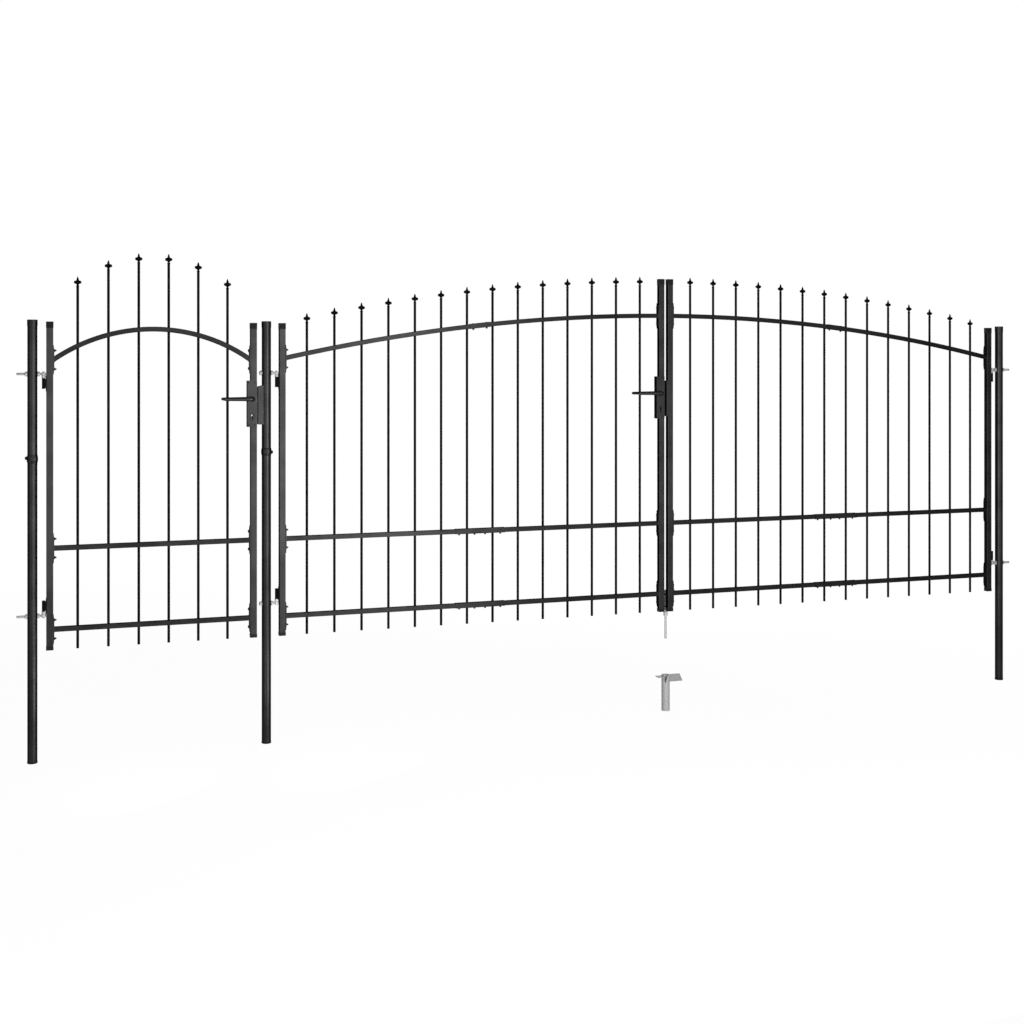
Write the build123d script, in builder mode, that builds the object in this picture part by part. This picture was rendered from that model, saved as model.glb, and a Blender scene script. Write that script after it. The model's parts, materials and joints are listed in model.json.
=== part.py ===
"""Spear-top gate set: a wicket gate and a double driveway gate on three round posts.

Lengths are in millimetres. X runs along the gate to the right, Y away from the viewer, Z up.
The origin is the centre of the middle post's foot. The posts are shown whole, with the part
that goes into the ground.
"""

import os
from math import asin, cos, degrees, radians, sin, sqrt

from build123d import *

# Posts: round tubes, as long above and below the ground as the picture shows them. Their height
# is measured over the slip-on caps, and so is that of the leaves' stiles.
post_height = 1950.0
post_diameter = 42.4
post_wall = 2.0
post_cap_height = 28.0
wicket_post_spacing = 1030.0
drive_post_spacing = 4052.0

# Caps that slip over the ends of posts and stiles.
cap_wall = 1.0
cap_top = 2.0
cap_clearance = 0.1
cap_edge = 0.8

# Square tubes of the leaves.
stile_size = 29.0
stile_wall = 1.5
stile_corner = 2.5
stile_cap_height = 28.0
stile_foot_cap_height = 15.0
rail_size = 22.0
rail_wall = 1.5
rail_corner = 2.0

# Heights above the posts' feet. The leaves end a little below their bottom rails.
bottom_rail_height = 583.0
leaf_drop = 90.0
middle_rail_height = 941.0
hinge_stile_top = 1942.0
meeting_stile_top = 2178.0

# Places along the gate, from the post that carries or catches each stile.
hinge_stile_offset = 73.0
lock_stile_offset = 60.0
meeting_stile_spacing = 48.0

# Round bars.
bar_diameter = 12.0
bar_hole_clearance = 0.2
leaf_bar_count = 14
leaf_bar_pitch = 130.5
wicket_bar_count = 6
wicket_bar_pitch = 132.0

# Arches and the lines of the spear tips, each a circular arc: the height at its crown, and at
# the hinge stile's centre line or at the outermost bar.
drive_arch_crown = 1992.0
drive_arch_side = 1777.0
drive_tip_crown = 2189.5
drive_tip_side = 1990.0
wicket_arch_crown = 1911.0
wicket_arch_side = 1773.0
wicket_tip_crown = 2256.0
wicket_tip_side = 2143.0

# Spear heads, cast in one piece and welded on the bars: a neck that widens into a body, two
# blunt arms, and a long point.
spear_height = 44.0
spear_arm_height = 18.5
spear_arm_depth = 14.0
spear_width = 31.0
spear_arm_bevel = 4.5
spear_arm_end = 5.0
spear_thickness = 9.0
spear_body_width = 17.0
spear_neck_width = 9.6
spear_neck_height = 4.0
spear_point_width = 10.0

# Flanges that carry the ends of the rails on the stiles.
flange_height = 130.0
flange_thickness = 4.5
flange_end_thickness = 2.0
flange_end_height = 28.0

# Sleeves over the joints in the middle of the driveway leaves' rails.
splice_length = 250.0
arch_splice_length = 100.0
splice_wall = 1.5
splice_gap = 2.0

# Hinges: an eye bolt through the post, and a black bracket with a pin on the stile.
hinge_pin_offset = 47.0
eye_above_keeper = 56.5
eye_above_bottom_rail = 62.5
eye_rod_diameter = 12.0
eye_outer_diameter = 21.0
eye_thickness = 12.0
eye_tail_outer_posts = 67.0
eye_tail_middle_post = 34.0
pin_diameter = 10.0
pin_clearance = 0.3
pin_reach = 5.0
barrel_diameter = 14.5
barrel_height = 48.0
collar_diameter = 17.0
collar_height = 11.7
collar_clearance = 0.3
hinge_plate_thickness = 2.5
hinge_plate_end_thickness = 1.5
hinge_plate_height = 70.0
hinge_plate_taper = 12.0
hinge_plate_width = 20.0
hinge_lug_margin = 4.0
hinge_lug_thickness = 8.0
nut_across_flats = 19.0
nut_thickness = 10.0
nut_bore_clearance = 0.2

# Locks: a case let into the stile's leaf side, with a lever on each face. The wicket's lock sits
# a little lower than the driveway's. Case, keyhole and keeper hang below their levers' spindle.
wicket_lever_height = 1591.0
drive_lever_height = 1600.0
lock_case_drop = 21.5
keyhole_drop = 75.0
keeper_drop = 27.0
lock_case_width = 44.0
lock_case_depth = 31.0
lock_case_height = 213.0
spindle_offset = 7.0
spindle_diameter = 8.0
spindle_clearance = 0.4
rosette_diameter = 26.0
rosette_thickness = 3.0
lever_standoff = 30.0
lever_length = 134.0
lever_hub_diameter = 20.0
lever_neck_diameter = 14.0
lever_grip_height = 14.0
lever_grip_thickness = 10.0
lever_tip_height = 9.0
lever_running_gap = 0.5
keyhole_diameter = 10.0
keyhole_slot_width = 5.0
keyhole_slot_length = 18.0

# Keepers that the locks close against.
keeper_height = 181.0
keeper_face_width = 29.0
keeper_wall = 3.0
keeper_depth = 32.0
keeper_corner_width = 16.0
keeper_corner_height = 12.0
keeper_seat_gap = 0.2
wicket_keeper_gap = 5.5
right_keeper_reach = 8.5

# Drop bolt on the back of the right leaf's meeting stile.
drop_rod_diameter = 12.0
drop_rod_offset = 31.0
drop_rod_tip = 345.0
drop_rod_handle_reach = 48.0
drop_rod_clearance = 0.5
drop_tube_diameter = 20.0
drop_tube_length = 121.0
drop_collar_diameter = 22.0
drop_collar_height = 18.0
upper_guide_drop = 9.0
lower_guide_drop = 71.0
guide_thickness = 5.0
guide_width = 26.0
guide_rim = 4.0
guide_tube_clearance = 0.2

# Ground sleeve for the drop bolt, which stands by itself under it: a tube with a notch that
# faces the driveway's left half, a tilted ear on its right and a level one on its left.
sleeve_diameter = 42.4
sleeve_wall = 3.0
sleeve_top = 161.0
sleeve_bottom = -22.0
sleeve_notch_depth = 42.0
sleeve_notch_width = 24.0
sleeve_notch_turn = 25.0
ear_thickness = 3.0
right_ear_length = 86.0
right_ear_width = 45.0
right_ear_tilt = 40.0
right_ear_height = 141.0
left_ear_length = 48.0
left_ear_width = 44.0
left_ear_height = 150.0

# How far the shapes that cut others reach past them.
cut_margin = 90.0

# Places that follow from the sizes above.
left_post_x = -wicket_post_spacing
right_post_x = drive_post_spacing
drive_centre = drive_post_spacing / 2
wicket_hinge_x = left_post_x + hinge_stile_offset
wicket_lock_x = -lock_stile_offset
left_hinge_x = hinge_stile_offset
left_meeting_x = drive_centre - meeting_stile_spacing / 2
right_meeting_x = drive_centre + meeting_stile_spacing / 2
right_hinge_x = right_post_x - hinge_stile_offset
wicket_centre = (wicket_hinge_x + wicket_lock_x) / 2
left_centre = (left_hinge_x + left_meeting_x) / 2
right_centre = (right_meeting_x + right_hinge_x) / 2
post_radius = post_diameter / 2
stile_half = stile_size / 2
bar_radius = bar_diameter / 2
leaf_bottom = bottom_rail_height - leaf_drop
wicket_keeper_middle = wicket_lever_height - keeper_drop
right_keeper_middle = drive_lever_height - keeper_drop
upper_eye_height = wicket_keeper_middle + keeper_height / 2 + eye_above_keeper
lower_eye_height = bottom_rail_height + eye_above_bottom_rail
eye_heights = (upper_eye_height, lower_eye_height)
drop_tube_top = bottom_rail_height
drop_tube_bottom = drop_tube_top - drop_tube_length
guide_heights = (bottom_rail_height - lower_guide_drop, bottom_rail_height - upper_guide_drop)
post_places = ((left_post_x, 0), (0, 0), (right_post_x, 0))

os.makedirs("parts", exist_ok=True)


def save(builder, name):
    """Label a finished piece and write it under that name."""
    builder.part.label = name
    export_step(builder.part, f"parts/{name}.step")


def arc_radius(half_chord, rise):
    """Radius of the circular arc that rises so much above the ends of its chord."""
    return (half_chord**2 + rise**2) / (2 * rise)


def arc_height(crown, radius, distance):
    """Height of an arc at a distance from its crown."""
    return crown - (radius - sqrt(radius**2 - distance**2))


def bar_places(centre, count, pitch):
    """The places of a leaf's bars along the gate."""
    return [centre + (index - (count - 1) / 2) * pitch for index in range(count)]


wicket_bars_x = bar_places(wicket_centre, wicket_bar_count, wicket_bar_pitch)
left_bars_x = bar_places(left_centre, leaf_bar_count, leaf_bar_pitch)
right_bars_x = bar_places(right_centre, leaf_bar_count, leaf_bar_pitch)

drive_arch_half = drive_centre - left_hinge_x
drive_arch_radius = arc_radius(drive_arch_half, drive_arch_crown - drive_arch_side)
drive_tip_radius = arc_radius(drive_centre - left_bars_x[0], drive_tip_crown - drive_tip_side)
wicket_arch_half = wicket_lock_x - stile_half - wicket_centre
wicket_arch_radius = arc_radius(wicket_arch_half, wicket_arch_crown - wicket_arch_side)
wicket_tip_radius = arc_radius(wicket_bars_x[-1] - wicket_centre, wicket_tip_crown - wicket_tip_side)


def drive_tip_height(x):
    """Height of a spear's tip on the driveway leaves."""
    return arc_height(drive_tip_crown, drive_tip_radius, abs(x - drive_centre))


def wicket_tip_height(x):
    """Height of a spear's tip on the wicket."""
    return arc_height(wicket_tip_crown, wicket_tip_radius, abs(x - wicket_centre))


# Posts


def make_post(x, name):
    """A round post, drilled through for its two eye bolts."""
    with BuildPart() as post:
        with BuildSketch(Plane.XY):
            with Locations((x, 0)):
                Circle(post_radius)
                Circle(post_radius - post_wall, mode=Mode.SUBTRACT)
        extrude(amount=post_height - cap_top)
        for height in eye_heights:
            with BuildSketch(Plane.YZ.offset(x - post_diameter)):
                with Locations((0, height)):
                    Circle(eye_rod_diameter / 2 + nut_bore_clearance)
            extrude(amount=2 * post_diameter, mode=Mode.SUBTRACT)
    save(post, name)


make_post(left_post_x, "post_left")
make_post(0.0, "post_middle")
make_post(right_post_x, "post_right")

with BuildPart() as post_caps:
    with BuildSketch(Plane.XY.offset(post_height - post_cap_height)):
        with Locations(*post_places):
            Circle(post_radius + cap_clearance + cap_wall)
    extrude(amount=post_cap_height)
    chamfer(post_caps.faces().sort_by(Axis.Z)[-len(post_places) :].edges(), cap_edge)
    with BuildSketch(Plane.XY.offset(post_height - post_cap_height)):
        with Locations(*post_places):
            Circle(post_radius + cap_clearance)
    extrude(amount=post_cap_height - cap_top, mode=Mode.SUBTRACT)
save(post_caps, "post_caps")


# Eye bolts and nuts: each entry has the post's place, the side its leaf is on, and its tail.
eye_bolts_at = (
    (left_post_x, 1, eye_tail_outer_posts),
    (0.0, 1, eye_tail_middle_post),
    (right_post_x, -1, eye_tail_outer_posts),
)

with BuildPart() as hinge_eye_bolts:
    for post_x, side, tail in eye_bolts_at:
        eye_x = post_x + side * hinge_pin_offset
        for height in eye_heights:
            with BuildSketch(Plane.XY.offset(height - eye_thickness / 2)):
                with Locations((eye_x, 0)):
                    Circle(eye_outer_diameter / 2)
            extrude(amount=eye_thickness)
            rod_start = post_x - side * tail
            with BuildSketch(Plane.YZ.offset(rod_start)):
                with Locations((0, height)):
                    Circle(eye_rod_diameter / 2)
            extrude(amount=side * (tail + hinge_pin_offset - pin_diameter))
            with BuildSketch(Plane.XY.offset(height - eye_thickness)):
                with Locations((eye_x, 0)):
                    Circle(pin_diameter / 2 + pin_clearance)
            extrude(amount=2 * eye_thickness, mode=Mode.SUBTRACT)
save(hinge_eye_bolts, "hinge_eye_bolts")

with BuildPart() as hinge_nuts:
    for post_x, side, tail in eye_bolts_at:
        for height in eye_heights:
            for start in (post_x + post_radius, post_x - post_radius - nut_thickness):
                with BuildSketch(Plane.YZ.offset(start)):
                    with Locations((0, height)):
                        RegularPolygon(nut_across_flats / 2, 6, major_radius=False)
                        Circle(eye_rod_diameter / 2 + nut_bore_clearance, mode=Mode.SUBTRACT)
                extrude(amount=nut_thickness)
save(hinge_nuts, "hinge_nuts")


# Leaves


def make_stile(x, top, name, lever_height=None):
    """A square upright tube, with the lock's two holes through it where it carries a lock."""
    with BuildPart() as stile:
        with BuildSketch(Plane.XY.offset(leaf_bottom + cap_top)):
            with Locations((x, 0)):
                RectangleRounded(stile_size, stile_size, stile_corner)
                inner = stile_size - 2 * stile_wall
                RectangleRounded(inner, inner, stile_corner - stile_wall, mode=Mode.SUBTRACT)
        extrude(amount=top - leaf_bottom - 2 * cap_top)
        if lever_height is not None:
            cut_lock_holes(x, lever_height)
    save(stile, name)


def cut_lock_holes(stile_x, lever_height):
    """Cut the spindle's hole and the keyhole through what is being made."""
    keyhole_height = lever_height - keyhole_drop
    with BuildSketch(Plane.XZ.offset(-lock_case_depth)) as holes:
        with Locations((stile_x - spindle_offset, lever_height)):
            Circle(spindle_diameter / 2 + spindle_clearance)
        with Locations((stile_x - spindle_offset, keyhole_height)):
            Circle(keyhole_diameter / 2)
        with Locations((stile_x - spindle_offset, keyhole_height - keyhole_slot_length / 2)):
            Rectangle(keyhole_slot_width, keyhole_slot_length)
    extrude(holes.sketch, amount=2 * lock_case_depth, mode=Mode.SUBTRACT)


def make_stile_caps(stiles, name):
    """The caps that slip over the ends of a leaf's two stiles."""
    inner = stile_size + 2 * cap_clearance
    outer = inner + 2 * cap_wall
    with BuildPart() as caps:
        for x, top in stiles:
            top_start = top - stile_cap_height
            ends = (
                (leaf_bottom, stile_foot_cap_height, leaf_bottom + cap_top),
                (top_start, stile_cap_height, top_start),
            )
            for start, height, bore_start in ends:
                with BuildSketch(Plane.XY.offset(start)):
                    with Locations((x, 0)):
                        RectangleRounded(outer, outer, stile_corner + cap_wall)
                extrude(amount=height)
                with BuildSketch(Plane.XY.offset(bore_start)):
                    with Locations((x, 0)):
                        RectangleRounded(inner, inner, stile_corner)
                extrude(amount=height - cap_top, mode=Mode.SUBTRACT)
    save(caps, name)


def punch_bars(bars_x, low, high):
    """Cut the bars' holes through the rail that is being made."""
    with BuildSketch(Plane.XY.offset(low)) as holes:
        with Locations(*[(x, 0) for x in bars_x]):
            Circle(bar_radius + bar_hole_clearance)
    extrude(holes.sketch, amount=high - low, mode=Mode.SUBTRACT)


def split_rail(split_x, low, high):
    """Part a rail in two under its splice sleeve."""
    with BuildSketch(Plane.XY.offset(low)) as gap:
        with Locations((split_x, 0)):
            Rectangle(splice_gap, cut_margin)
    extrude(gap.sketch, amount=high - low, mode=Mode.SUBTRACT)


def make_rail(start_x, end_x, height, bars_x, name, split_x=None):
    """A straight square rail between two flanges, with the bars' holes punched through it."""
    with BuildPart() as rail:
        with BuildSketch(Plane.YZ.offset(start_x)):
            with Locations((0, height)):
                RectangleRounded(rail_size, rail_size, rail_corner)
                inner = rail_size - 2 * rail_wall
                RectangleRounded(inner, inner, rail_corner - rail_wall, mode=Mode.SUBTRACT)
        extrude(amount=end_x - start_x)
        punch_bars(bars_x, height - rail_size, height + rail_size)
        if split_x is not None:
            split_rail(split_x, height - rail_size, height + rail_size)
    save(rail, name)


def arch_plane(crown_x, crown, radius, angle):
    """The plane across an arch at an angle from its crown."""
    turn = radians(angle)
    return Plane(
        origin=(crown_x + radius * sin(turn), 0, crown - radius + radius * cos(turn)),
        x_dir=(0, 1, 0),
        z_dir=(cos(turn), 0, -sin(turn)),
    )


def make_arch(start_x, end_x, crown_x, crown, radius, bars_x, name, split_x=None):
    """A rail bent to a circular arc, cut upright where it meets its flanges."""
    overrun = rail_size
    start_angle = degrees(asin((start_x - overrun - crown_x) / radius))
    end_angle = degrees(asin((end_x + overrun - crown_x) / radius))
    low = arc_height(crown, radius, max(abs(start_x - crown_x), abs(end_x - crown_x)))
    with BuildPart() as arch:
        with BuildSketch(arch_plane(crown_x, crown, radius, start_angle)):
            RectangleRounded(rail_size, rail_size, rail_corner)
            inner = rail_size - 2 * rail_wall
            RectangleRounded(inner, inner, rail_corner - rail_wall, mode=Mode.SUBTRACT)
        centre = (crown_x, 0, crown - radius)
        revolve(axis=Axis(centre, (0, 1, 0)), revolution_arc=end_angle - start_angle)
        with BuildSketch(Plane.XY.offset(low - cut_margin)):
            with Locations(((start_x + end_x) / 2, 0)):
                Rectangle(end_x - start_x, cut_margin)
        extrude(amount=crown - low + 2 * cut_margin, mode=Mode.INTERSECT)
        punch_bars(bars_x, low - cut_margin, crown + cut_margin)
        if split_x is not None:
            split_rail(split_x, low - cut_margin, crown + cut_margin)
    save(arch, name)


def make_bars(bars_x, tip_height, name):
    """The round bars of one leaf, up to their spear heads."""
    with BuildPart() as bars:
        for x in bars_x:
            with BuildSketch(Plane.XY.offset(leaf_bottom)):
                with Locations((x, 0)):
                    Circle(bar_radius)
            extrude(amount=tip_height(x) - spear_height - leaf_bottom)
    save(bars, name)


def make_spear_head():
    """One spear head with its foot at the origin: its front outline cut to its side outline."""
    arm_low = spear_arm_height - spear_arm_depth / 2
    arm_high = spear_arm_height + spear_arm_depth / 2
    with BuildPart() as head:
        with BuildSketch(Plane.XZ.offset(-spear_width / 2)):
            with BuildLine():
                Polyline(
                    (0, 0),
                    (spear_neck_width / 2, 0),
                    (spear_neck_width / 2, spear_neck_height),
                    (spear_body_width / 2, arm_low),
                    (spear_width / 2 - spear_arm_bevel, arm_low),
                    (spear_width / 2, spear_arm_height - spear_arm_end / 2),
                    (spear_width / 2, spear_arm_height + spear_arm_end / 2),
                    (spear_width / 2 - spear_arm_bevel, arm_high),
                    (spear_point_width / 2, arm_high),
                    (0, spear_height),
                    (0, 0),
                )
            make_face()
            mirror(about=Plane.YZ)
        extrude(amount=spear_width)
        with BuildSketch(Plane.YZ.offset(-spear_width)):
            with BuildLine():
                Polyline(
                    (0, 0),
                    (spear_neck_width / 2, 0),
                    (spear_neck_width / 2, spear_neck_height),
                    (spear_thickness / 2, arm_low),
                    (spear_thickness / 2, arm_high),
                    (0, spear_height),
                    (0, 0),
                )
            make_face()
            mirror(about=Plane.YZ)
        extrude(amount=2 * spear_width, mode=Mode.INTERSECT)
    return head.part


def make_spear_heads(bars_x, tip_height, name):
    """The spear heads of one leaf, each standing on its bar."""
    head = make_spear_head()
    with BuildPart() as heads:
        for x in bars_x:
            with Locations((x, 0, tip_height(x) - spear_height)):
                add(head)
    save(heads, name)


def make_flanges(stiles, name):
    """The flanges between the stiles and the ends of the rails."""
    half = flange_height / 2
    with BuildPart() as flanges:
        for x, side, heights in stiles:
            face = x + side * stile_half
            for height in heights:
                with BuildSketch(Plane.XZ.offset(-stile_half)):
                    with BuildLine():
                        Polyline(
                            (face, height - half),
                            (face + side * flange_end_thickness, height - half),
                            (face + side * flange_thickness, height - half + flange_end_height),
                            (face + side * flange_thickness, height + half - flange_end_height),
                            (face + side * flange_end_thickness, height + half),
                            (face, height + half),
                            (face, height - half),
                        )
                    make_face()
                extrude(amount=stile_size)
    save(flanges, name)


def make_hinge_brackets(post_x, side, name):
    """The black brackets on a hinge stile: a plate, a lug and the barrel that holds the pin."""
    pin_x = post_x + side * hinge_pin_offset
    face = post_x + side * (hinge_stile_offset - stile_half)
    with BuildPart() as brackets:
        for height, away in ((upper_eye_height, -1), (lower_eye_height, 1)):
            near = height + away * (eye_thickness / 2 + collar_height + collar_clearance)
            far = near + away * barrel_height
            low = min(near, far)
            with BuildSketch(Plane.XY.offset(low)):
                with Locations((pin_x, 0)):
                    Circle(barrel_diameter / 2)
            extrude(amount=barrel_height)
            with BuildSketch(Plane.XY.offset(low + hinge_lug_margin)):
                with Locations(((pin_x + face) / 2, 0)):
                    Rectangle(abs(face - pin_x), hinge_lug_thickness)
            extrude(amount=barrel_height - 2 * hinge_lug_margin)
            plate_low = low + (barrel_height - hinge_plate_height) / 2
            plate_high = plate_low + hinge_plate_height
            with BuildSketch(Plane.XZ.offset(-hinge_plate_width / 2)):
                with BuildLine():
                    Polyline(
                        (face, plate_low),
                        (face - side * hinge_plate_end_thickness, plate_low),
                        (face - side * hinge_plate_thickness, plate_low + hinge_plate_taper),
                        (face - side * hinge_plate_thickness, plate_high - hinge_plate_taper),
                        (face - side * hinge_plate_end_thickness, plate_high),
                        (face, plate_high),
                        (face, plate_low),
                    )
                make_face()
            extrude(amount=hinge_plate_width)
    save(brackets, name)


def make_hinge_pins(post_x, side, name):
    """The pins in the brackets' barrels, with the collars that run on the eyes."""
    pin_x = post_x + side * hinge_pin_offset
    with BuildPart() as pins:
        for height, away in ((upper_eye_height, -1), (lower_eye_height, 1)):
            collar_near = height + away * (eye_thickness / 2 + collar_clearance)
            collar_far = collar_near + away * collar_height
            with BuildSketch(Plane.XY.offset(min(collar_near, collar_far))):
                with Locations((pin_x, 0)):
                    Circle(collar_diameter / 2)
            extrude(amount=collar_height)
            pin_end = height - away * (eye_thickness / 2 + pin_reach)
            with BuildSketch(Plane.XY.offset(min(pin_end, collar_near))):
                with Locations((pin_x, 0)):
                    Circle(pin_diameter / 2)
            extrude(amount=abs(collar_near - pin_end))
    save(pins, name)


def make_splices(centre_x, bars_x, name):
    """The sleeves over the joints of a driveway leaf's rails and arch."""
    outer = rail_size + 2 * splice_wall
    start_angle = degrees(asin((centre_x - arch_splice_length / 2 - drive_centre) / drive_arch_radius))
    end_angle = degrees(asin((centre_x + arch_splice_length / 2 - drive_centre) / drive_arch_radius))
    with BuildPart() as splices:
        with BuildSketch(arch_plane(drive_centre, drive_arch_crown, drive_arch_radius, start_angle)):
            RectangleRounded(outer, outer, rail_corner)
            RectangleRounded(rail_size, rail_size, rail_corner, mode=Mode.SUBTRACT)
        centre = (drive_centre, 0, drive_arch_crown - drive_arch_radius)
        revolve(axis=Axis(centre, (0, 1, 0)), revolution_arc=end_angle - start_angle)
        for height in (middle_rail_height, bottom_rail_height):
            with BuildSketch(Plane.YZ.offset(centre_x - splice_length / 2)):
                with Locations((0, height)):
                    RectangleRounded(outer, outer, rail_corner)
                    RectangleRounded(rail_size, rail_size, rail_corner, mode=Mode.SUBTRACT)
            extrude(amount=splice_length)
        punch_bars(bars_x, leaf_bottom, middle_rail_height + rail_size)
    save(splices, name)


def make_lock_case(stile_x, lever_height, name):
    """A lock case on the leaf side of a stile, with plates over the stile's two faces."""
    right = stile_x + stile_half
    low = lever_height - lock_case_drop - lock_case_height / 2
    spindle_x = stile_x - spindle_offset
    with BuildPart() as case:
        with BuildSketch(Plane.XY.offset(low)):
            with Locations((right - lock_case_width / 2, 0)):
                Rectangle(lock_case_width, lock_case_depth)
            with Locations((stile_x, 0)):
                Rectangle(stile_size, stile_size, mode=Mode.SUBTRACT)
        extrude(amount=lock_case_height)
        for side in (1, -1):
            with BuildSketch(Plane.XZ.offset(side * lock_case_depth / 2)):
                with Locations((spindle_x, lever_height)):
                    Circle(rosette_diameter / 2)
            extrude(amount=side * rosette_thickness)
        cut_lock_holes(stile_x, lever_height)
    save(case, name)


def lever_outline(spindle_x, lever_height, out):
    """The front outline of a lever's hub and of its grip, which tapers towards its tip."""
    tip_x = spindle_x - lever_length + lever_tip_height / 2
    with BuildSketch(Plane.XZ.offset(out)) as outline:
        with Locations((spindle_x, lever_height)):
            Circle(lever_hub_diameter / 2)
        with BuildLine():
            Polyline(
                (spindle_x, lever_height - lever_grip_height / 2),
                (spindle_x, lever_height + lever_grip_height / 2),
                (tip_x, lever_height + lever_tip_height / 2),
                (tip_x, lever_height - lever_tip_height / 2),
                (spindle_x, lever_height - lever_grip_height / 2),
            )
        make_face()
        with Locations((tip_x, lever_height)):
            Circle(lever_tip_height / 2)
    return outline.sketch


def make_levers(stile_x, lever_height, name):
    """The two levers of a lock on their common spindle."""
    spindle_x = stile_x - spindle_offset
    near = lock_case_depth / 2 + rosette_thickness + lever_running_gap
    far = near + lever_standoff
    with BuildPart() as levers:
        with BuildSketch(Plane.XZ.offset(-near)):
            with Locations((spindle_x, lever_height)):
                Circle(spindle_diameter / 2)
        extrude(amount=2 * near)
        for side in (1, -1):
            with BuildSketch(Plane.XZ.offset(side * near)):
                with Locations((spindle_x, lever_height)):
                    Circle(lever_neck_diameter / 2)
            extrude(amount=side * lever_standoff)
            outline = lever_outline(spindle_x, lever_height, side * far)
            extrude(outline, amount=-side * lever_grip_thickness)
    save(levers, name)


# The wicket.

wicket_stiles = ((wicket_hinge_x, hinge_stile_top), (wicket_lock_x, hinge_stile_top))
wicket_rail_start = wicket_hinge_x + stile_half + flange_thickness
wicket_rail_end = wicket_lock_x - stile_half - flange_thickness
make_stile(wicket_hinge_x, hinge_stile_top, "wicket_hinge_stile")
make_stile(wicket_lock_x, hinge_stile_top, "wicket_lock_stile", wicket_lever_height)
make_stile_caps(wicket_stiles, "wicket_stile_caps")
wicket_arc = (wicket_centre, wicket_arch_crown, wicket_arch_radius)
make_arch(wicket_rail_start, wicket_rail_end, *wicket_arc, wicket_bars_x, "wicket_arch")
make_rail(wicket_rail_start, wicket_rail_end, middle_rail_height, wicket_bars_x, "wicket_middle_rail")
make_rail(wicket_rail_start, wicket_rail_end, bottom_rail_height, wicket_bars_x, "wicket_bottom_rail")
make_bars(wicket_bars_x, wicket_tip_height, "wicket_bars")
make_spear_heads(wicket_bars_x, wicket_tip_height, "wicket_spear_heads")
wicket_flanges_at = [
    (wicket_hinge_x, 1, (wicket_arch_side, middle_rail_height, bottom_rail_height)),
    (wicket_lock_x, -1, (wicket_arch_side, middle_rail_height, bottom_rail_height)),
]
make_flanges(wicket_flanges_at, "wicket_rail_flanges")
make_hinge_brackets(left_post_x, 1, "wicket_hinge_brackets")
make_hinge_pins(left_post_x, 1, "wicket_hinge_pins")
make_lock_case(wicket_lock_x, wicket_lever_height, "wicket_lock_case")
make_levers(wicket_lock_x, wicket_lever_height, "wicket_levers")

# The two driveway leaves, mirror images of each other but for the lock and the drop bolt.

leaves = (
    ("left", 0.0, 1, left_hinge_x, left_meeting_x, left_centre, left_bars_x),
    ("right", right_post_x, -1, right_hinge_x, right_meeting_x, right_centre, right_bars_x),
)
drive_arc = (drive_centre, drive_arch_crown, drive_arch_radius)
for label, post_x, side, hinge_x, meeting_x, centre_x, bars_x in leaves:
    inset = side * (stile_half + flange_thickness)
    rail_ends = sorted((hinge_x + inset, meeting_x - inset))
    lever_height = drive_lever_height if label == "left" else None
    make_stile(hinge_x, hinge_stile_top, f"{label}_hinge_stile")
    make_stile(meeting_x, meeting_stile_top, f"{label}_meeting_stile", lever_height)
    make_stile_caps(((hinge_x, hinge_stile_top), (meeting_x, meeting_stile_top)), f"{label}_stile_caps")
    make_arch(*rail_ends, *drive_arc, bars_x, f"{label}_arch", centre_x)
    make_rail(*rail_ends, middle_rail_height, bars_x, f"{label}_middle_rail", centre_x)
    make_rail(*rail_ends, bottom_rail_height, bars_x, f"{label}_bottom_rail", centre_x)
    make_bars(bars_x, drive_tip_height, f"{label}_bars")
    make_spear_heads(bars_x, drive_tip_height, f"{label}_spear_heads")
    splice_bars_x = [x for x in bars_x if abs(x - centre_x) < splice_length / 2]
    make_splices(centre_x, splice_bars_x, f"{label}_splice_sleeves")
    meeting_arch = arc_height(drive_arch_crown, drive_arch_radius, abs(meeting_x - drive_centre))
    flanges_at = [
        (hinge_x, side, (drive_arch_side, middle_rail_height, bottom_rail_height)),
        (meeting_x, -side, (meeting_arch, middle_rail_height, bottom_rail_height)),
    ]
    make_flanges(flanges_at, f"{label}_rail_flanges")
    make_hinge_brackets(post_x, side, f"{label}_hinge_brackets")
    make_hinge_pins(post_x, side, f"{label}_hinge_pins")
make_lock_case(left_meeting_x, drive_lever_height, "left_lock_case")
make_levers(left_meeting_x, drive_lever_height, "left_levers")

# Keepers: open towards the lock, and closed by a web against what carries them.


def make_keeper_blank(start_x, pocket_end, middle):
    """A channel that is open towards the lock, with its corners on that side cut off."""
    low = middle - keeper_height / 2
    high = middle + keeper_height / 2
    with BuildPart() as blank:
        with BuildSketch(Plane.XZ.offset(-keeper_depth / 2)):
            with BuildLine():
                Polyline(
                    (start_x, low + keeper_corner_height),
                    (start_x + keeper_corner_width, low),
                    (start_x + keeper_face_width, low),
                    (start_x + keeper_face_width, high),
                    (start_x + keeper_corner_width, high),
                    (start_x, high - keeper_corner_height),
                    (start_x, low + keeper_corner_height),
                )
            make_face()
        extrude(amount=keeper_depth)
        with BuildSketch(Plane.XY.offset(low)):
            with Locations(((start_x + pocket_end) / 2, 0)):
                Rectangle(pocket_end - start_x, keeper_depth - 2 * keeper_wall)
        extrude(amount=keeper_height, mode=Mode.SUBTRACT)
    return blank.part


with BuildPart() as wicket_keeper:
    keeper_start = wicket_lock_x + stile_half + wicket_keeper_gap
    pocket_end = -post_radius - keeper_seat_gap - keeper_wall
    add(make_keeper_blank(keeper_start, pocket_end, wicket_keeper_middle))
    with BuildSketch(Plane.XY.offset(wicket_keeper_middle - keeper_height / 2)):
        Circle(post_radius + keeper_seat_gap)
    extrude(amount=keeper_height, mode=Mode.SUBTRACT)
save(wicket_keeper, "wicket_keeper")

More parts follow.
